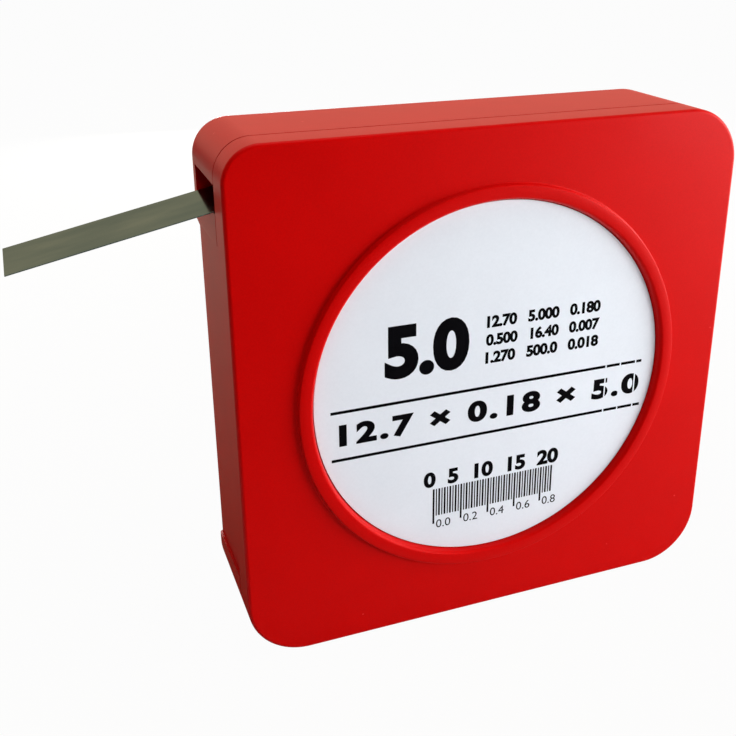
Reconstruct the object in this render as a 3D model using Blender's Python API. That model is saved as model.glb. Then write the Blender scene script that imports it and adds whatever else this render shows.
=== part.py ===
# Shim tape in a dispenser case.
# A flat square plastic case stands on its edge. A 5 m steel tape is coiled in it, and the tape's
# free end comes out through a slot in the left side.
# Metres, +Z up. The origin is the middle of the case's bottom, the front faces -Y,
# and the tape leaves towards -X.

import math

import bmesh
import bpy

# Case, both shells together
case_width = 0.085
case_height = 0.085
corner_radius = 0.0100
far_corner_radius = 0.0092
slot_corner_radius = 0.0057
side_wall = 0.0024
rear_wall = 0.0015
rear_edge_fillet = 0.0006
floor_fillet = 0.0008
seat_gap = 0.0003
smallest_radius = 0.0002

# Front cover: a plate with a short skirt that closes over the lip of the case body
cover_plate = 0.0020
skirt_depth = 0.0056
skirt_wall = 0.0011
front_edge_fillet = 0.0010

# Raised ring on the cover, and the round pocket inside it that holds the label
pocket_radius = 0.0309
pocket_lean = 0.0002
ring_width = 0.0020
ring_rise = 0.0006
ring_edge_round = 0.00015
ring_cove = 0.0010
pocket_depth = 0.0009
label_thickness = 0.0002

# Sunken panel in the left side of the case body, for the fingers
panel_sink = 0.0005
panel_bottom = 0.0115
panel_top = 0.0694
panel_ramp = 0.0014

# Tape
tape_length = 5.0
tape_width = 0.0127
tape_thickness = 0.00018
tape_slope = math.radians(11.8)
tape_outside = 0.0294
tape_rear_gap = 0.0019
coil_clearance = 0.0005

# Slot for the tape
slot_height = 0.0043
slot_floor_gap = 0.0003
slot_rear_step = 0.00005

# Turns that show on the ends of the coil
groove_count = 3
groove_width = 0.00024
groove_depth = 0.00020

# Facets
corner_steps = 8
cover_side_steps = 18
round_steps = 3
coil_steps = 72
label_steps = 96

# Places worked out from the sizes
case_depth = skirt_depth + seat_gap + tape_width + tape_rear_gap + rear_wall
centre_z = case_height / 2
front_y = -case_depth / 2
rear_y = case_depth / 2
skirt_end_y = front_y + skirt_depth
shoulder_y = skirt_end_y + seat_gap
plate_back_y = front_y + cover_plate
lip_end_y = plate_back_y + seat_gap
lip_inset = skirt_wall + seat_gap
floor_y = rear_y - rear_wall
tape_front_y = skirt_end_y + seat_gap
tape_rear_y = tape_front_y + tape_width

coil_radius = min(case_width, case_height) / 2 - side_wall - coil_clearance
run_radius = coil_radius + seat_gap + tape_thickness / 2
leave_x = -run_radius * math.sin(tape_slope)
leave_z = centre_z + run_radius * math.cos(tape_slope)
tape_inside = (case_width / 2 + leave_x) / math.cos(tape_slope)
exit_x = -case_width / 2
exit_z = leave_z - tape_inside * math.sin(tape_slope)
wound_length = tape_length - tape_inside - tape_outside
coil_bore = math.sqrt(coil_radius ** 2 - wound_length * tape_thickness / math.pi)
slot_bottom = exit_z - tape_thickness / 2 - slot_floor_gap
slot_top = slot_bottom + slot_height

# Corners of the case seen from the front, anticlockwise from the top right:
# sign of x, sign of z, radius
corners = (
    (1, 1, far_corner_radius),
    (-1, 1, slot_corner_radius),
    (-1, -1, corner_radius),
    (1, -1, corner_radius),
)


def clear_scene():
    for old in list(bpy.data.objects):
        bpy.data.objects.remove(old, do_unlink=True)


def make_material(name, colour, roughness, metallic=0.0):
    material = bpy.data.materials.new(name)
    material.use_nodes = True
    shader = material.node_tree.nodes["Principled BSDF"]
    shader.inputs["Base Color"].default_value = (*colour, 1.0)
    shader.inputs["Roughness"].default_value = roughness
    shader.inputs["Metallic"].default_value = metallic
    material.diffuse_color = (*colour, 1.0)
    return material


def finish_object(name, mesh_data, material, parent=None, location=(0, 0, 0), sharp_angle=28):
    bmesh.ops.recalc_face_normals(mesh_data, faces=mesh_data.faces)
    mesh = bpy.data.meshes.new(name)
    mesh_data.to_mesh(mesh)
    mesh_data.free()
    mesh.shade_smooth()
    mesh.set_sharp_from_angle(angle=math.radians(sharp_angle))
    if material:
        mesh.materials.append(material)
    thing = bpy.data.objects.new(name, mesh)
    bpy.context.collection.objects.link(thing)
    thing.parent = parent
    thing.location = location
    return thing


def case_outline(inset, side_steps=1):
    """Points (x, z) round the case, with its corners, pulled in by inset."""
    points = []
    for quarter, (x_sign, z_sign, radius) in enumerate(corners):
        bend = max(radius - inset, smallest_radius)
        middle_x = x_sign * (case_width / 2 - inset - bend)
        middle_z = z_sign * (case_height / 2 - inset - bend)
        for step in range(corner_steps + 1):
            turn = (quarter + step / corner_steps) * math.pi / 2
            points.append((middle_x + bend * math.cos(turn), middle_z + bend * math.sin(turn)))
    return divide_sides(points, side_steps)


def divide_sides(points, side_steps):
    """Adds evenly spaced points to the four straight sides of an outline."""
    divided = []
    for index, (x, z) in enumerate(points):
        divided.append((x, z))
        if index % (corner_steps + 1) == corner_steps:
            next_x, next_z = points[(index + 1) % len(points)]
            for step in range(1, side_steps):
                share = step / side_steps
                divided.append((x + (next_x - x) * share, z + (next_z - z) * share))
    return divided


def circle_under(outline, radius):
    """A circle with one point on the same ray as each point of the outline."""
    scaled = []
    for x, z in outline:
        reach = math.hypot(x, z)
        scaled.append((x * radius / reach, z * radius / reach))
    return scaled


def circle(radius, steps):
    turns = [2 * math.pi * step / steps for step in range(steps)]
    return [(radius * math.cos(turn), radius * math.sin(turn)) for turn in turns]


def quarter_round(start, end, around_start):
    """Points of a quarter ellipse between two (distance, y) points, without its start.
    It leaves the start along y if around_start is true, and along the distance if not."""
    points = []
    for step in range(1, round_steps + 1):
        turn = step / round_steps * math.pi / 2
        slow, fast = 1 - math.cos(turn), math.sin(turn)
        share_d, share_y = (slow, fast) if around_start else (fast, slow)
        points.append((start[0] + (end[0] - start[0]) * share_d,
                       start[1] + (end[1] - start[1]) * share_y))
    return points


def loft(rows):
    """A closed solid through rows of (x, y, z) points, with its first and last row filled."""
    shape = bmesh.new()
    rings = [[shape.verts.new(point) for point in row] for row in rows]
    for near, far in zip(rings, rings[1:]):
        count = len(near)
        for index in range(count):
            after = (index + 1) % count
            shape.faces.new((near[index], near[after], far[after], far[index]))
    shape.faces.new(rings[0])
    shape.faces.new(rings[-1])
    return shape


def row_at(outline, y, height=centre_z):
    return [(x, y, z + height) for x, z in outline]


def prism(outline, y_start, y_end, height=0.0):
    return loft([row_at(outline, y_start, height), row_at(outline, y_end, height)])


def turned(profile, steps):
    """A ring turned about the Y axis from a closed profile of (radius, y) points."""
    shape = bmesh.new()
    points = [shape.verts.new((radius, y, 0)) for radius, y in profile]
    edges = [shape.edges.new((a, b)) for a, b in zip(points, points[1:] + points[:1])]
    bmesh.ops.spin(shape, geom=points + edges, cent=(0, 0, 0), axis=(0, 1, 0),
                   angle=2 * math.pi, steps=steps, use_merge=True, use_duplicate=False)
    return shape


def cut(target, name, cutter_shape, parent):
    cutter = finish_object(name, cutter_shape, None, parent)
    cutter.hide_render = True
    cutter.display_type = "WIRE"
    cutter.hide_set(True)
    modifier = target.modifiers.new(name, "BOOLEAN")
    modifier.operation = "DIFFERENCE"
    modifier.solver = "EXACT"
    modifier.object = cutter


def make_case_body(material, parent):
    """Rear shell: side walls, rear wall and the lip that the cover closes over."""
    profile = [(rear_edge_fillet, rear_y)]
    profile += quarter_round(profile[-1], (0.0, rear_y - rear_edge_fillet), False)
    profile += [(0.0, shoulder_y), (lip_inset, shoulder_y), (lip_inset, lip_end_y)]
    profile += [(side_wall, lip_end_y), (side_wall, floor_y - floor_fillet)]
    profile += quarter_round(profile[-1], (side_wall + floor_fillet, floor_y), True)
    rows = [row_at(case_outline(inset), y) for inset, y in profile]
    body = finish_object("case_body", loft(rows), material, parent)

    # The slot is open to the front, where the cover's skirt closes it
    reach = side_wall + slot_height
    slot_left, slot_right = exit_x - side_wall, exit_x + reach
    slot_outline = [(slot_left, slot_bottom), (slot_right, slot_bottom),
                    (slot_right, slot_top), (slot_left, slot_top)]
    slot_shape = prism(slot_outline, lip_end_y - cover_plate, floor_y - slot_rear_step)
    cut(body, "slot_cutter", slot_shape, parent)

    panel_outline = [(exit_x - side_wall, panel_bottom), (exit_x + panel_sink, panel_bottom),
                     (exit_x + panel_sink, panel_top - panel_ramp), (exit_x, panel_top),
                     (exit_x - side_wall, panel_top)]
    panel_shape = prism(panel_outline, lip_end_y - cover_plate, rear_y + rear_wall)
    cut(body, "panel_cutter", panel_shape, parent)
    return body


def make_front_cover(material, parent):
    """Cover plate with its skirt, the raised ring and the label's pocket."""
    ring_top_y = front_y - ring_rise
    ring_edge_y = ring_top_y + ring_edge_round
    inner_edge = pocket_radius + pocket_lean
    outer_edge = inner_edge + ring_width
    inner = [(pocket_radius, front_y + pocket_depth), (inner_edge, ring_edge_y)]
    inner += quarter_round(inner[-1], (inner_edge + ring_edge_round, ring_top_y), True)
    inner.append((outer_edge - ring_edge_round, ring_top_y))
    inner += quarter_round(inner[-1], (outer_edge, ring_edge_y), False)
    inner += quarter_round(inner[-1], (outer_edge + ring_cove, front_y), True)

    outer = [(front_edge_fillet, front_y)]
    outer += quarter_round(outer[-1], (0.0, front_y + front_edge_fillet), False)
    outer += [(0.0, skirt_end_y), (skirt_wall, skirt_end_y), (skirt_wall, plate_back_y)]

    full = case_outline(0.0, cover_side_steps)
    rows = [row_at(circle_under(full, radius), y) for radius, y in inner]
    rows += [row_at(case_outline(inset, cover_side_steps), y) for inset, y in outer]
    return finish_object("front_cover", loft(rows), material, parent)


def make_label(material, parent):
    back_y = front_y + pocket_depth - seat_gap
    outline = circle(pocket_radius - seat_gap, label_steps)
    shape = prism(outline, back_y - label_thickness, back_y, centre_z)
    return finish_object("label", shape, material, parent)


def coil_end(y, inward):
    """Profile of one end of the coil, from the bore outwards, with its shallow grooves."""
    pitch = (coil_radius - coil_bore) / (groove_count + 1)
    width = min(groove_width, pitch / 2)
    points = [(coil_bore, y)]
    for number in range(1, groove_count + 1):
        middle = coil_bore + number * pitch
        points += [(middle - width / 2, y), (middle, y + inward * groove_depth),
                   (middle + width / 2, y)]
    points.append((coil_radius, y))
    return points


def make_tape_coil(material, parent):
    """The wound tape, which lies against the inside of the case and turns as the tape is drawn."""
    half = tape_width / 2
    profile = coil_end(-half, 1) + coil_end(half, -1)[::-1]
    place = (0, (tape_front_y + tape_rear_y) / 2, centre_z)
    return finish_object("tape_coil", turned(profile, coil_steps), material, parent, place)


def make_tape_end(material, parent):
    """The straight run of tape from the coil through the slot to its cut end."""
    along_x, along_z = -math.cos(tape_slope), -math.sin(tape_slope)
    side_x, side_z = -math.sin(tape_slope), math.cos(tape_slope)
    half = tape_thickness / 2
    outline = []
    for reach, side in ((-tape_inside, -half), (tape_outside, -half),
                        (tape_outside, half), (-tape_inside, half)):
        outline.append((reach * along_x + side * side_x, reach * along_z + side * side_z))
    shape = prism(outline, -tape_width / 2, tape_width / 2)
    place = (exit_x, (tape_front_y + tape_rear_y) / 2, exit_z)
    return finish_object("tape_end", shape, material, parent, place)


def main():
    clear_scene()
    red_plastic = make_material("red_plastic", (0.62, 0.004, 0.006), 0.32)
    white_paper = make_material("white_paper", (0.78, 0.80, 0.84), 0.45)
    tape_steel = make_material("tape_steel", (0.36, 0.38, 0.33), 0.38, 1.0)
    dispenser = bpy.data.objects.new("dispenser", None)
    bpy.context.collection.objects.link(dispenser)
    make_case_body(red_plastic, dispenser)
    make_front_cover(red_plastic, dispenser)
    make_label(white_paper, dispenser)
    make_tape_coil(tape_steel, dispenser)
    make_tape_end(tape_steel, dispenser)


main()
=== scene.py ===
import math

import bmesh
import bpy
from mathutils import Euler, Matrix, Vector


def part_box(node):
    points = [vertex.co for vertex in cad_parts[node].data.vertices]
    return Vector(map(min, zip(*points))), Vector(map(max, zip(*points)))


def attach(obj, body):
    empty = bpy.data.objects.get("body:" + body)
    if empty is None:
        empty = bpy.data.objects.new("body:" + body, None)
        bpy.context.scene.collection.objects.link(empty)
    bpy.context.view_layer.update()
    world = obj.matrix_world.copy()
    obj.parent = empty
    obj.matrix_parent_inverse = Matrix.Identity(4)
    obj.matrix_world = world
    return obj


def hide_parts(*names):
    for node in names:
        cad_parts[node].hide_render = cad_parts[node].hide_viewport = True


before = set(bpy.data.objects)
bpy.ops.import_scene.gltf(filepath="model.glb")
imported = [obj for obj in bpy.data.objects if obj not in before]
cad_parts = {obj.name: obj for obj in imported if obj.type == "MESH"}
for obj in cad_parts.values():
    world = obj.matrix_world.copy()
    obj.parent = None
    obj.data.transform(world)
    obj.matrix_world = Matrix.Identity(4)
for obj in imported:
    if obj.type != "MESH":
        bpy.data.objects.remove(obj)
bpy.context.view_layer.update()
print("frame loaded:", ", ".join(sorted(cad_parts)))

sourceRingRise = 0.0006  # the ring's rise in the source, which the cover's box takes in
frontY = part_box("front_cover")[0].y + sourceRingRise
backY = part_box("case_body")[1].y
halfWidth = 0.0425
midZ = 0.0425  # centre of the case, and of the coil
tapeSlope = math.radians(11.8)  # of the tape's free end, and so of its rolled lines

# Corners of the case seen from the front: sign of x, sign of z, radius
caseCorners = ((1, 1, 0.0092), (-1, 1, 0.0057), (-1, -1, 0.0100), (1, -1, 0.0100))


# Nodes that more than one material uses

def join(links, value, socket):
    # The value is another node's output, or what the socket itself is set to
    if isinstance(value, bpy.types.NodeSocket):
        links.new(value, socket)
    else:
        socket.default_value = value


def setInputs(node, values):
    for label, value in values.items():
        node.inputs[label].default_value = value


def addMath(nodes, links, operation, first, second):
    node = nodes.new("ShaderNodeMath")
    node.operation = operation
    join(links, first, node.inputs[0])
    join(links, second, node.inputs[1])
    return node.outputs[0]


def mixColours(nodes, links, share, first, second):
    node = nodes.new("ShaderNodeMix")
    node.data_type = "RGBA"
    for value, number in ((share, 0), (first, 6), (second, 7)):
        join(links, value, node.inputs[number])
    return node.outputs[2]


def newGroup(name, inputs, outputs):
    group = bpy.data.node_groups.new(name, "ShaderNodeTree")
    for label, value in inputs:
        socket = group.interface.new_socket(name=label, in_out="INPUT", socket_type="NodeSocketFloat")
        socket.default_value = value
    for label in outputs:
        group.interface.new_socket(name=label, in_out="OUTPUT", socket_type="NodeSocketFloat")
    return group, group.nodes.new("NodeGroupInput"), group.nodes.new("NodeGroupOutput")


def makeFineGrain():
    # Shallow unevenness at two scales, 0.5 on average
    inputs = [("Fine Scale", 3000.0), ("Broad Scale", 120.0), ("Broad Share", 0.5)]
    group, start, end = newGroup("fineGrain", inputs, ["Height"])
    nodes, links = group.nodes, group.links
    place = nodes.new("ShaderNodeTexCoord")
    mix = nodes.new("ShaderNodeMix")
    links.new(start.outputs["Broad Share"], mix.inputs[0])
    for label, detail, number in (("Fine Scale", 2.0, 2), ("Broad Scale", 3.0, 3)):
        noise = nodes.new("ShaderNodeTexNoise")
        noise.inputs["Detail"].default_value = detail
        links.new(place.outputs["Object"], noise.inputs["Vector"])
        links.new(start.outputs[label], noise.inputs["Scale"])
        links.new(noise.outputs["Fac"], mix.inputs[number])
    links.new(mix.outputs[0], end.inputs["Height"])
    return group


def makeSpecks():
    # A few small round specks: 1 on a speck, 0 between them
    inputs = [("Scale", 180.0), ("Size", 0.06), ("Amount", 0.12)]
    group, start, end = newGroup("specks", inputs, ["Mask"])
    nodes, links = group.nodes, group.links
    place = nodes.new("ShaderNodeTexCoord")
    cells = nodes.new("ShaderNodeTexVoronoi")
    parts = nodes.new("ShaderNodeSeparateColor")
    links.new(place.outputs["Object"], cells.inputs["Vector"])
    links.new(start.outputs["Scale"], cells.inputs["Scale"])
    links.new(cells.outputs["Color"], parts.inputs[0])
    near = addMath(nodes, links, "LESS_THAN", cells.outputs["Distance"], start.outputs["Size"])
    chosen = addMath(nodes, links, "LESS_THAN", parts.outputs[0], start.outputs["Amount"])
    links.new(addMath(nodes, links, "MULTIPLY", near, chosen), end.inputs["Mask"])
    return group


fineGrain = makeFineGrain()
specks = makeSpecks()


# Materials. A finish is what is the same all over, set on the shader's own sockets

def newMaterial(name, finish):
    material = bpy.data.materials.new(name)
    material.use_nodes = True
    nodes = material.node_tree.nodes
    shader = nodes["Principled BSDF"]
    setInputs(shader, finish)
    return material, nodes, material.node_tree.links, shader


def addGroup(nodes, group, values):
    node = nodes.new("ShaderNodeGroup")
    node.node_tree = group
    setInputs(node, values)
    return node


def addBump(nodes, links, height, shader, strength, distance):
    bump = nodes.new("ShaderNodeBump")
    bump.inputs["Strength"].default_value = strength
    bump.inputs["Distance"].default_value = distance
    links.new(height, bump.inputs["Height"])
    links.new(bump.outputs["Normal"], shader.inputs["Normal"])


def addRamp(nodes, links, value, stops):
    ramp = nodes.new("ShaderNodeValToRGB")
    points = ramp.color_ramp.elements
    while len(points) < len(stops):
        points.new(0.5)
    for point, (position, colour) in zip(points, stops):
        point.position = position
        point.color = (*colour, 1.0)
    links.new(value, ramp.inputs["Fac"])
    return ramp


plastic = {
    "deep": (0.55, 0.0004, 0.0003), "pale": (0.62, 0.0006, 0.0004), "speck": (0.72, 0.05, 0.05, 1.0),
    "finish": {"Roughness": 0.45, "Specular IOR Level": 0.31, "Specular Tint": (1.0, 0.005, 0.004, 1.0),
               "Coat Weight": 0.02, "Coat Roughness": 0.12},
    "grain": {"Fine Scale": 4200.0, "Broad Scale": 90.0, "Broad Share": 0.35},
    "specks": {"Scale": 170.0, "Size": 0.03, "Amount": 0.5},
    "bumpStrength": 0.10, "bumpDistance": 0.00005,
}


def makeRedPlastic():
    material, nodes, links, shader = newMaterial("redPlastic", plastic["finish"])
    grain = addGroup(nodes, fineGrain, plastic["grain"]).outputs["Height"]
    tone = addRamp(nodes, links, grain, [(0.35, plastic["deep"]), (0.65, plastic["pale"])])
    dots = addGroup(nodes, specks, plastic["specks"])
    speckled = mixColours(nodes, links, dots.outputs["Mask"], tone.outputs["Color"], plastic["speck"])
    links.new(speckled, shader.inputs["Base Color"])
    addBump(nodes, links, grain, shader, plastic["bumpStrength"], plastic["bumpDistance"])
    return material


paper = {
    "low": (0.79, 0.838, 0.905), "high": (0.83, 0.878, 0.945),
    "finish": {"Roughness": 0.5, "Specular IOR Level": 0.3},
    "grain": {"Fine Scale": 2500.0, "Broad Scale": 60.0, "Broad Share": 0.6},
    "bumpStrength": 0.08, "bumpDistance": 0.00004,
}


def makeLabelPaper():
    material, nodes, links, shader = newMaterial("labelPaper", paper["finish"])
    grain = addGroup(nodes, fineGrain, paper["grain"]).outputs["Height"]
    tone = addRamp(nodes, links, grain, [(0.35, paper["low"]), (0.65, paper["high"])])
    links.new(tone.outputs["Color"], shader.inputs["Base Color"])
    addBump(nodes, links, grain, shader, paper["bumpStrength"], paper["bumpDistance"])
    return material


steel = {
    "dark": (0.082, 0.131, 0.147), "mid": (0.115, 0.165, 0.173), "light": (0.150, 0.198, 0.198),
    "finish": {"Metallic": 1.0, "Roughness": 0.13, "Specular Tint": (0.60, 0.62, 0.55, 1.0)},
    # noise drawn out along the tape: scale in each direction, and detail
    "lines": ((60.0, 900.0, 900.0), 3.0), "stains": ((70.0, 260.0, 260.0), 4.0),
    "bumpStrength": 0.15, "bumpDistance": 0.00002,
}


def addDrawnNoise(nodes, links, place, scale, detail):
    stretch = nodes.new("ShaderNodeMapping")
    stretch.inputs["Rotation"].default_value = (0, -tapeSlope, 0)
    stretch.inputs["Scale"].default_value = scale
    links.new(place.outputs["Object"], stretch.inputs["Vector"])
    noise = nodes.new("ShaderNodeTexNoise")
    noise.inputs["Scale"].default_value = 1.0
    noise.inputs["Detail"].default_value = detail
    links.new(stretch.outputs["Vector"], noise.inputs["Vector"])
    return noise.outputs["Fac"]


def makeTapeSteel():
    material, nodes, links, shader = newMaterial("tapeSteel", steel["finish"])
    place = nodes.new("ShaderNodeTexCoord")
    lines = addDrawnNoise(nodes, links, place, *steel["lines"])
    stains = addDrawnNoise(nodes, links, place, *steel["stains"])
    stops = [(0.3, steel["dark"]), (0.55, steel["mid"]), (0.75, steel["light"])]
    tone = addRamp(nodes, links, stains, stops)
    links.new(tone.outputs["Color"], shader.inputs["Base Color"])
    addBump(nodes, links, lines, shader, steel["bumpStrength"], steel["bumpDistance"])
    return material


ink = {
    "deep": (0.0012, 0.0012, 0.002), "pale": (0.003, 0.003, 0.0045),
    "finish": {"Roughness": 0.5, "Specular IOR Level": 0.02},
    "grain": {"Fine Scale": 5000.0, "Broad Scale": 400.0, "Broad Share": 0.5},
    # upright faults in the print: place from the middle of the label, and width
    "faults": ((-0.0046, 0.00006), (0.0161, 0.00008), (0.0194, 0.00008), (0.0209, 0.00016),
               (0.0221, 0.00008), (0.0237, 0.00010), (0.0250, 0.00010), (0.0267, 0.00012)),
    "reach": 0.03,  # the ramp that holds the faults runs this far each way
}


def makeInk():
    # Black print with a few upright faults towards the right, where the printer left the paper bare
    material, nodes, links, shader = newMaterial("blackInk", ink["finish"])
    grain = addGroup(nodes, fineGrain, ink["grain"]).outputs["Height"]
    tone = addRamp(nodes, links, grain, [(0.3, ink["deep"]), (0.7, ink["pale"])])
    place = nodes.new("ShaderNodeTexCoord")
    parts = nodes.new("ShaderNodeSeparateXYZ")
    links.new(place.outputs["Object"], parts.inputs[0])
    across = nodes.new("ShaderNodeMapRange")
    across.inputs["From Min"].default_value = -ink["reach"]
    across.inputs["From Max"].default_value = ink["reach"]
    links.new(parts.outputs["X"], across.inputs["Value"])
    span = 2 * ink["reach"]
    stops = [(0.0, (0, 0, 0))]
    for middle, width in ink["faults"]:
        stops.append(((middle - width / 2) / span + 0.5, (1, 1, 1)))
        stops.append(((middle + width / 2) / span + 0.5, (0, 0, 0)))
    fault = addRamp(nodes, links, across.outputs["Result"], stops)
    fault.color_ramp.interpolation = "CONSTANT"
    bare = (*paper["high"], 1.0)
    printed = mixColours(nodes, links, fault.outputs["Color"], tone.outputs["Color"], bare)
    links.new(printed, shader.inputs["Base Color"])
    return material


redPlastic = makeRedPlastic()
labelPaper = makeLabelPaper()
tapeSteel = makeTapeSteel()
blackInk = makeInk()
print("materials made")


# Pieces

def addObject(name, data):
    item = bpy.data.objects.new(name, data)
    bpy.context.scene.collection.objects.link(item)
    return item


def meshOf(item):
    # A new mesh of what the object looks like with its modifiers or its text worked out
    return bpy.data.meshes.new_from_object(item.evaluated_get(bpy.context.evaluated_depsgraph_get()))


def smoothMesh(mesh, sharp):
    mesh.shade_smooth()
    mesh.set_sharp_from_angle(angle=math.radians(sharp))


def finishPiece(name, shape, material, body, nodes=(), sharp=30.0):
    bmesh.ops.remove_doubles(shape, verts=shape.verts, dist=1e-7)
    bmesh.ops.recalc_face_normals(shape, faces=shape.faces)
    mesh = bpy.data.meshes.new(name)
    shape.to_mesh(mesh)
    shape.free()
    mesh.materials.append(material)
    smoothMesh(mesh, sharp)
    piece = addObject(name, mesh)
    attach(piece, body)
    if nodes:
        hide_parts(*nodes)
    return piece


def evenNormals(piece):
    modifier = piece.modifiers.new("evenNormals", "WEIGHTED_NORMAL")
    modifier.keep_sharp = True


def liesAt(item, y):
    return all(abs(v.co.y - y) < 1e-6 for v in item.verts)


def roundEdges(shape, edges, radius, steps):
    bmesh.ops.bevel(shape, geom=edges, offset=radius, offset_type="OFFSET", segments=steps, profile=0.5,
                    affect="EDGES", material=-1)


def caseFace(shape, y, steps):
    # A flat square with the case's rounded corners, facing -Y
    verts = bmesh.ops.create_grid(shape, x_segments=1, y_segments=1, size=halfWidth)["verts"]
    bmesh.ops.rotate(shape, verts=verts, cent=(0, 0, 0), matrix=Matrix.Rotation(math.pi / 2, 3, "X"))
    bmesh.ops.translate(shape, verts=verts, vec=(0, y, midZ))
    for signX, signZ, radius in caseCorners:
        spot = Vector((signX * halfWidth, y, midZ + signZ * halfWidth))
        corner = min(shape.verts, key=lambda v: (v.co - spot).length)
        bmesh.ops.bevel(shape, geom=[corner], offset=radius, offset_type="OFFSET", segments=steps,
                        profile=0.5, affect="VERTICES", material=-1)
    shape.faces.ensure_lookup_table()
    return shape.faces[0]


def pushFace(shape, face, distance):
    # Extrudes one flat face along Y and gives the moved face. With its edges in the call, no face
    # is left behind inside
    made = bmesh.ops.extrude_face_region(shape, geom=[face] + list(face.edges))
    moved = next(item for item in made["geom"] if isinstance(item, bmesh.types.BMFace))
    bmesh.ops.translate(shape, verts=moved.verts, vec=(0, distance, 0))
    return moved


def shrinkFace(shape, face, thickness):
    bmesh.ops.inset_region(shape, faces=[face], thickness=thickness, depth=0.0, use_even_offset=True,
                           use_boundary=True)


def turnProfile(shape, profile, middle, steps, closed=False):
    # Turns a line once round an axis along Y. Each point is a radius and a place along Y
    points = [shape.verts.new(middle + Vector((radius, y, 0))) for radius, y in profile]
    ends = points[1:] + points[:1] if closed else points[1:]
    line = [shape.edges.new(pair) for pair in zip(points, ends)]
    bmesh.ops.spin(shape, geom=points + line, cent=middle, axis=(0, 1, 0), angle=2 * math.pi,
                   steps=steps, use_merge=True, use_duplicate=False)


def boxShape(low, high):
    shape = bmesh.new()
    made = bmesh.ops.create_cube(shape, size=1.0)
    size, middle = Vector(high) - Vector(low), (Vector(high) + Vector(low)) / 2
    bmesh.ops.scale(shape, verts=made["verts"], vec=size)
    bmesh.ops.translate(shape, verts=made["verts"], vec=middle)
    return shape


def carve(piece, cutterShape):
    cutterMesh = bpy.data.meshes.new("cutter")
    bmesh.ops.recalc_face_normals(cutterShape, faces=cutterShape.faces)
    cutterShape.to_mesh(cutterMesh)
    cutterShape.free()
    cutter = addObject("cutter", cutterMesh)
    modifier = piece.modifiers.new("carve", "BOOLEAN")
    modifier.operation = "DIFFERENCE"
    modifier.solver = "EXACT"
    modifier.object = cutter
    carved = meshOf(piece)
    piece.modifiers.remove(modifier)
    old, piece.data = piece.data, carved
    name = old.name
    bpy.data.meshes.remove(old)
    carved.name = name
    bpy.data.objects.remove(cutter)
    bpy.data.meshes.remove(cutterMesh)


cover = {
    "skirtDepth": 0.0056, "skirtWall": 0.0011, "plate": 0.0020, "frontFillet": 0.0006, "gap": 0.0003,
    "ringLift": 0.00030, "pocketRadius": 0.03068, "pocketDepth": 0.0009,
    # the raised ring from the pocket outwards: radius, rise above the face, rounding, rounding steps
    "ring": ((0.03072, -0.00030, 0.00006, 2), (0.03088, 0.00040, 0.00010, 3),
             (0.03106, 0.00068, 0.00010, 3), (0.03130, 0.00084, 0.00012, 4),
             (0.03215, 0.00090, 0.00030, 3), (0.03312, 0.00085, 0.00013, 4),
             (0.03326, 0.00008, 0.00005, 2), (0.03340, 0.0, 0.00008, 2)),
    "cornerSteps": 24, "turnSteps": 256,
}
ringMiddle = Vector((0, 0, midZ + cover["ringLift"]))
body = {
    "sideWall": 0.0024, "rearWall": 0.0015, "rearFillet": 0.0006,
    "slotLow": 0.07408, "slotHigh": 0.07838, "slotDepth": 0.0067, "slotRear": 0.0086,
    "panelSink": 0.0005, "panelLow": 0.0115, "panelTilt": 0.068, "panelHigh": 0.0694, "panelRamp": 0.0014,
    # where the cutters start and end outside the wall
    "cutterLeft": -0.046, "cutterFront": 0.001, "cutterRear": 0.002,
}


def makeCaseShell():
    shoulderY = frontY + cover["skirtDepth"] + cover["gap"]
    lipY = frontY + cover["plate"] + cover["gap"]
    shape = bmesh.new()
    front = pushFace(shape, caseFace(shape, backY, cover["cornerSteps"]), shoulderY - backY)
    shrinkFace(shape, front, cover["skirtWall"] + cover["gap"])
    front = pushFace(shape, front, lipY - shoulderY)
    shrinkFace(shape, front, body["sideWall"] - cover["skirtWall"] - cover["gap"])
    pushFace(shape, front, backY - body["rearWall"] - lipY)
    print("case shell:", len(shape.faces), "faces, closed:", all(e.is_manifold for e in shape.edges))
    roundEdges(shape, [e for e in shape.edges if liesAt(e, backY)], body["rearFillet"], 5)
    piece = finishPiece("caseShell", shape, redPlastic, "case", ["case_body"])

    left, startY = body["cutterLeft"], frontY - body["cutterFront"]
    carve(piece, boxShape((left, startY, body["slotLow"]),
                          (-halfWidth + body["slotDepth"], body["slotRear"], body["slotHigh"])))
    panel = boxShape((left, startY, body["panelLow"]),
                     (-halfWidth + body["panelSink"], backY + body["cutterRear"], body["panelHigh"]))
    for v in panel.verts:
        if v.co.z < midZ:
            # the block below the panel is higher towards the front
            v.co.z += body["panelTilt"] * (backY - v.co.y)
        elif v.co.x > -halfWidth:
            v.co.z -= body["panelRamp"]
        else:
            # the ramp runs on past the wall, so that it meets the wall at the panel's top
            v.co.z += body["panelRamp"] / body["panelSink"] * (-halfWidth - v.co.x)
    carve(piece, panel)
    smoothMesh(piece.data, 30.0)
    evenNormals(piece)


def liesOnRing(edge, radius, rise):
    # Whether the edge is part of the ring's turned edge at this radius and rise
    return all(abs(math.hypot(v.co.x - ringMiddle.x, v.co.z - ringMiddle.z) - radius) < 2e-6
               and abs(v.co.y - frontY + rise) < 2e-6 for v in edge.verts)


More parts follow.
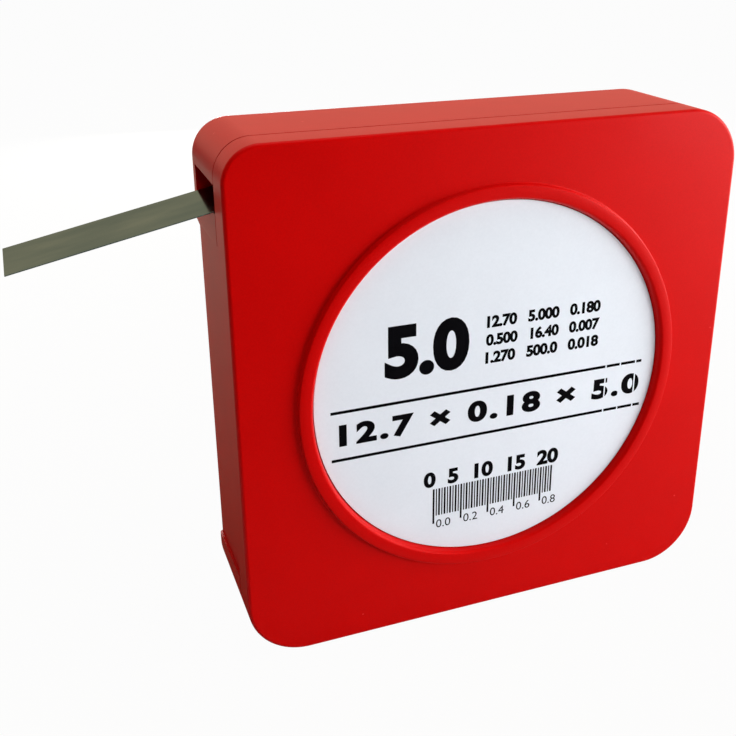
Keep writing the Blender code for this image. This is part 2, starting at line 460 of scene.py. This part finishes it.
def makeFrontCover():
    c = cover
    shape = bmesh.new()
    skirtEnd = pushFace(shape, caseFace(shape, frontY, c["cornerSteps"]), c["skirtDepth"])
    shrinkFace(shape, skirtEnd, c["skirtWall"])
    pushFace(shape, skirtEnd, c["plate"] - c["skirtDepth"])
    roundEdges(shape, [e for e in shape.edges if liesAt(e, frontY)], c["frontFillet"], 8)
    plate = max((f for f in shape.faces if liesAt(f, frontY)), key=lambda f: f.calc_area())
    bmesh.ops.delete(shape, geom=[plate], context="FACES_ONLY")

    # Pocket and ring, turned about the middle of the ring, and each turned edge rounded
    floorY = frontY + c["pocketDepth"]
    profile = [(0.0, floorY), (c["pocketRadius"], floorY)]
    profile += [(radius, frontY - rise) for radius, rise, _, _ in c["ring"]]
    turnProfile(shape, profile, ringMiddle, c["turnSteps"])
    bmesh.ops.remove_doubles(shape, verts=shape.verts, dist=1e-7)
    bmesh.ops.bridge_loops(shape, edges=[e for e in shape.edges if len(e.link_faces) == 1])
    for radius, rise, rounding, steps in c["ring"]:
        roundEdges(shape, [e for e in shape.edges if liesOnRing(e, radius, rise)], rounding, steps)
    print("front cover:", len(shape.faces), "faces, closed:", all(e.is_manifold for e in shape.edges))
    piece = finishPiece("frontCover", shape, redPlastic, "case", ["front_cover"], sharp=35)
    evenNormals(piece)


label = {"radius": 0.03055, "thickness": 0.0002, "edge": 0.00004, "steps": 256}
labelY = frontY + cover["pocketDepth"] - cover["gap"] - label["thickness"]


def makeLabelDisc():
    shape = bmesh.new()
    made = bmesh.ops.create_circle(shape, cap_ends=True, segments=label["steps"], radius=label["radius"])
    verts = made["verts"]
    bmesh.ops.rotate(shape, verts=verts, cent=(0, 0, 0), matrix=Matrix.Rotation(math.pi / 2, 3, "X"))
    bmesh.ops.translate(shape, verts=verts, vec=(ringMiddle.x, labelY + label["thickness"], ringMiddle.z))
    shape.faces.ensure_lookup_table()
    pushFace(shape, shape.faces[0], -label["thickness"])
    roundEdges(shape, [e for e in shape.edges if liesAt(e, labelY)], label["edge"], 2)
    evenNormals(finishPiece("labelDisc", shape, labelPaper, "case", ["label"]))


# Print on the label: places in metres from the middle of the label
printing = {
    "thickness": 0.000015, "ruleHeight": 0.00050, "textDepth": 0.01,
    "rules": ((-0.0279, 0.0280, -0.00025), (-0.0279, 0.0283, -0.00856)),  # left, right, middle
    # words, (left, right, bottom, top), boldness, gap between characters
    "numerals": (
        ("5.0", (-0.0190, -0.0047, 0.0038, 0.0129), 0.050, 1.0),
        ("12.70   5.000   0.180", (-0.0017, 0.0190, 0.0101, 0.0122), 0.048, 0.97),
        ("0.500   16.40   0.007", (-0.0018, 0.0190, 0.0070, 0.0091), 0.048, 0.97),
        ("1.270   500.0   0.018", (-0.0018, 0.0190, 0.0039, 0.0060), 0.048, 0.97),
        ("12.7 \xd7 0.18 \xd7 5.0", (-0.0266, 0.0278, -0.0063, -0.0024), 0.048, 1.2),
        ("0  5  10  15  20", (-0.0123, 0.0127, -0.0169, -0.0140), 0.045, 1.0),
    ),
    # the graduated scale: every tenth line is longer, and every other one thinner
    "scaleLeft": -0.0105, "scaleStep": 0.0005, "scaleCount": 44, "scaleWidths": (0.00032, 0.00020),
    "scaleTop": -0.01735, "scaleLow": -0.0225, "scaleLongLow": -0.0240,
    "scaleNumbers": ("0.0", "0.2", "0.4", "0.6", "0.8"), "scaleNumberStep": 0.005,
    "scaleNumberShift": 0.0005, "scaleNumberWidth": 0.0026,
    "scaleNumberTop": -0.02335, "scaleNumberLow": -0.0249,
}
# A third of the ink's depth lies in the paper, so that no gap shows under it
inkDepth = printing["thickness"] * 1.5
inkY = labelY - printing["thickness"] * 0.25


def inkBox(shape, left, right, bottom, top):
    verts = bmesh.ops.create_cube(shape, size=1.0)["verts"]
    bmesh.ops.scale(shape, verts=verts, vec=(right - left, inkDepth, top - bottom))
    bmesh.ops.translate(shape, verts=verts, vec=((left + right) / 2, inkY, midZ + (top + bottom) / 2))


def inkWords(shape, words, place, boldness, gap):
    data = bpy.data.curves.new("words", "FONT")
    data.body = words
    data.offset = boldness
    data.space_character = gap
    data.extrude = printing["textDepth"]
    data.resolution_u = 6  # other steps leave torn triangles in the bold 8
    holder = addObject("words", data)
    mesh = meshOf(holder)
    bpy.data.objects.remove(holder)
    bpy.data.curves.remove(data)
    left, right, bottom, top = place
    xs, ys = [v.co.x for v in mesh.vertices], [v.co.y for v in mesh.vertices]
    scale = Matrix.Diagonal(((right - left) / (max(xs) - min(xs)), (top - bottom) / (max(ys) - min(ys)),
                             inkDepth / (2 * printing["textDepth"]), 1))
    stand = Matrix.Rotation(math.pi / 2, 4, "X")
    middle = Matrix.Translation((-(max(xs) + min(xs)) / 2, -(max(ys) + min(ys)) / 2, 0))
    target = Matrix.Translation(((left + right) / 2, inkY, midZ + (bottom + top) / 2))
    mesh.transform(target @ stand @ scale @ middle)
    shape.from_mesh(mesh)
    bpy.data.meshes.remove(mesh)


def makePrint():
    p = printing
    shape = bmesh.new()
    for left, right, middle in p["rules"]:
        inkBox(shape, left, right, middle - p["ruleHeight"] / 2, middle + p["ruleHeight"] / 2)
    finishPiece("labelRules", shape, blackInk, "case")
    shape = bmesh.new()
    for words, place, boldness, gap in p["numerals"]:
        inkWords(shape, words, place, boldness, gap)
    finishPiece("labelNumerals", shape, blackInk, "case")
    shape = bmesh.new()
    for number in range(p["scaleCount"] + 1):
        x = p["scaleLeft"] + number * p["scaleStep"]
        wide = p["scaleWidths"][number % 2]
        low = p["scaleLongLow"] if number % 10 == 0 else p["scaleLow"]
        inkBox(shape, x - wide / 2, x + wide / 2, low, p["scaleTop"])
    for number, words in enumerate(p["scaleNumbers"]):
        x = p["scaleLeft"] + number * p["scaleNumberStep"] + p["scaleNumberShift"]
        place = (x, x + p["scaleNumberWidth"], p["scaleNumberLow"], p["scaleNumberTop"])
        inkWords(shape, words, place, 0.0, 1.0)
    finishPiece("labelScale", shape, blackInk, "case")


coil = {"bore": 0.03585, "radius": 0.0396, "frontY": -0.0051, "width": 0.0127, "turns": 21,
        "edge": 0.00003, "steps": 144}


def makeCoil():
    # Each turn of tape shows on both ends of the coil, because its edges are broken
    c = coil
    low, high = c["frontY"], c["frontY"] + c["width"]
    pitch = (c["radius"] - c["bore"]) / c["turns"]
    # across one end from the bore outwards: radius, and depth below the end
    across = [(c["bore"], c["edge"])]
    for number in range(c["turns"]):
        inner, outer = c["bore"] + number * pitch, c["bore"] + (number + 1) * pitch
        across += [(inner + c["edge"], 0.0), (outer - c["edge"], 0.0), (outer, c["edge"])]
    profile = [(x, low + sink) for x, sink in across] + [(x, high - sink) for x, sink in reversed(across)]
    shape = bmesh.new()
    turnProfile(shape, profile, Vector((0, 0, midZ)), c["steps"], closed=True)
    finishPiece("woundTape", shape, tapeSteel, "coil", ["tape_coil"])


tape = {"width": 0.0127, "thickness": 0.00018, "edge": 0.00004}


def makeTapeEnd():
    low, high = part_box("tape_end")
    length = (high.x - low.x) / math.cos(tapeSlope)
    corner = Vector((length / 2, tape["width"] / 2, tape["thickness"] / 2))
    shape = boxShape(-corner, corner)
    roundEdges(shape, list(shape.edges), tape["edge"], 2)
    turn = Matrix.Rotation(-tapeSlope, 4, "Y")
    bmesh.ops.transform(shape, verts=shape.verts, matrix=Matrix.Translation((low + high) / 2) @ turn)
    evenNormals(finishPiece("tapeEnd", shape, tapeSteel, "tape", ["tape_end"]))


makeCaseShell()
print("case shell made")
makeFrontCover()
print("front cover made")
makeLabelDisc()
makePrint()
makeCoil()
makeTapeEnd()
print("label and tape made")


# Stage, light and camera

stage = {
    "floorReach": 4.0, "floorTone": (0.85, 0.85, 0.85, 1), "floorWhite": 0.97,
    # in reflections the floor has a painted shadow, darker towards the case that stands on it: distance,
    # tone
    "floorPaintedShadow": ((0.05, (0.25, 0.16, 0.09)), (0.24, (1.0, 0.90, 0.72))),
    # the world is white to the eye, a little warm in reflections, and faint as a light
    "worldWhite": (1, 1, 1, 1), "worldWarm": (1.0, 0.80, 0.60, 1), "worldLight": 0.05,
}


def addSeen(nodes, links, rays):
    # 1 where the eye sees the backdrop, straight, mirrored or through glass
    seen = addMath(nodes, links, "MAXIMUM", rays.outputs["Is Camera Ray"], rays.outputs["Is Glossy Ray"])
    return addMath(nodes, links, "MAXIMUM", seen, rays.outputs["Is Transmission Ray"])


def makeFloor():
    shape = bmesh.new()
    bmesh.ops.create_grid(shape, x_segments=1, y_segments=1, size=stage["floorReach"])
    mesh = bpy.data.meshes.new("floor")
    shape.to_mesh(mesh)
    shape.free()
    floor = addObject("floor", mesh)
    material, nodes, links, shader = newMaterial("paleFloor", {})
    nodes.remove(shader)
    rays = nodes.new("ShaderNodeLightPath")
    place = nodes.new("ShaderNodeTexCoord")
    away = nodes.new("ShaderNodeVectorMath")
    away.operation = "LENGTH"
    links.new(place.outputs["Object"], away.inputs[0])
    # painted shadow: the floor's colour darkens towards the case, mostly seen in reflections
    paintedShadow = addRamp(nodes, links, away.outputs["Value"], stage["floorPaintedShadow"])
    matte = nodes.new("ShaderNodeBsdfDiffuse")
    seen = addSeen(nodes, links, rays)
    colour = mixColours(nodes, links, seen, stage["floorTone"], paintedShadow.outputs["Color"])
    links.new(colour, matte.inputs["Color"])
    white = nodes.new("ShaderNodeEmission")
    white.inputs["Strength"].default_value = 1.0
    share = addMath(nodes, links, "MULTIPLY", rays.outputs["Is Camera Ray"], stage["floorWhite"])
    mix = nodes.new("ShaderNodeMixShader")
    links.new(share, mix.inputs["Fac"])
    links.new(matte.outputs[0], mix.inputs[1])
    links.new(white.outputs[0], mix.inputs[2])
    links.new(mix.outputs[0], nodes["Material Output"].inputs["Surface"])
    mesh.materials.append(material)


def makeWorld():
    world = bpy.data.worlds.new("studio")
    bpy.context.scene.world = world
    world.use_nodes = True
    nodes, links = world.node_tree.nodes, world.node_tree.links
    back = nodes["Background"]
    rays = nodes.new("ShaderNodeLightPath")
    mirrored = rays.outputs["Is Glossy Ray"]
    tint = mixColours(nodes, links, mirrored, stage["worldWhite"], stage["worldWarm"])
    links.new(tint, back.inputs["Color"])
    level = nodes.new("ShaderNodeMapRange")
    level.inputs["To Min"].default_value = stage["worldLight"]
    level.inputs["To Max"].default_value = 1.0
    links.new(addSeen(nodes, links, rays), level.inputs["Value"])
    links.new(level.outputs["Result"], back.inputs["Strength"])


# place, what it points at, width, height, watts
lamps = {
    "keyLamp": ((0.33, -0.158, 0.085), (0, 0, 0.045), 0.40, 0.22, 2.3),
    "topLamp": ((-0.04, -0.02, 0.50), (0, 0, 0.045), 0.34, 0.34, 1.35),
    "backLamp": ((0.07, 0.42, 0.055), (0.01, 0, 0.045), 0.16, 0.05, 1.0),
}


def addLamp(name, place, target, width, height, power):
    data = bpy.data.lights.new(name, "AREA")
    data.shape = "RECTANGLE"
    data.size, data.size_y = width, height
    data.energy = power
    lamp = addObject(name, data)
    lamp.location = place
    lamp.rotation_euler = (Vector(target) - Vector(place)).to_track_quat("-Z", "Y").to_euler()


camera = {"place": (-0.067913, -0.144326, 0.114230), "turn": (68.7904, -0.009, -21.1792),
          "lens": 49.682, "sensor": 36.0, "shift": (-0.0465, -0.0853)}


def makeCamera():
    data = bpy.data.cameras.new("camera")
    data.sensor_width = camera["sensor"]
    data.lens = camera["lens"]
    data.shift_x, data.shift_y = camera["shift"]
    data.clip_start, data.clip_end = 0.01, 20.0
    holder = addObject("camera", data)
    holder.location = camera["place"]
    holder.rotation_euler = Euler([math.radians(a) for a in camera["turn"]], "XYZ")
    bpy.context.scene.camera = holder


makeFloor()
makeWorld()
for name, settings in lamps.items():
    addLamp(name, *settings)
makeCamera()
bpy.context.scene.view_settings.view_transform = "Standard"
print("stage, lamps and camera set")
